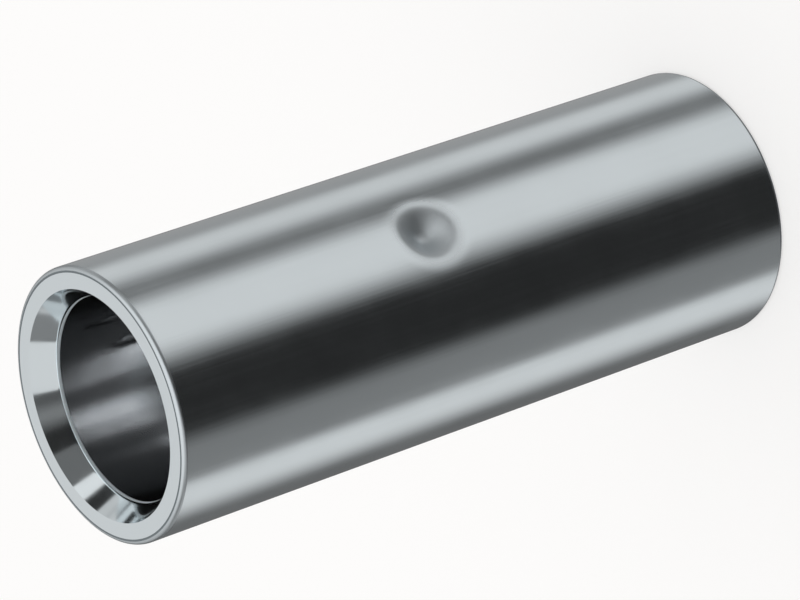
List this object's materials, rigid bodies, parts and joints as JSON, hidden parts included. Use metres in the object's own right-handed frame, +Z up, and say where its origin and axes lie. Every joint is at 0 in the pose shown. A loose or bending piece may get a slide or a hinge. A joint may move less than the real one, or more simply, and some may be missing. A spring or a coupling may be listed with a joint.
{
  "type": "butt splice connector",
  "caption": "Bare butt splice sleeve of tin-plated copper: a plain open tube with tapered mouths and a wire stop punched into its side.",
  "frame": {"origin": "centre of the lower end face, on the surface that the sleeve stands on", "axes": "+Z up along the tube's axis; the punched dent of the wire stop faces -Y"},
  "size_m": [0.0154, 0.0154, 0.042],
  "materials": {
    "tin_plated_copper": "bright tin plating on drawn copper tube, silvery, with fine lines along the tube"
  },
  "bodies": {
    "root": {"barrel": "tin_plated_copper"}
  },
  "joints": []
}
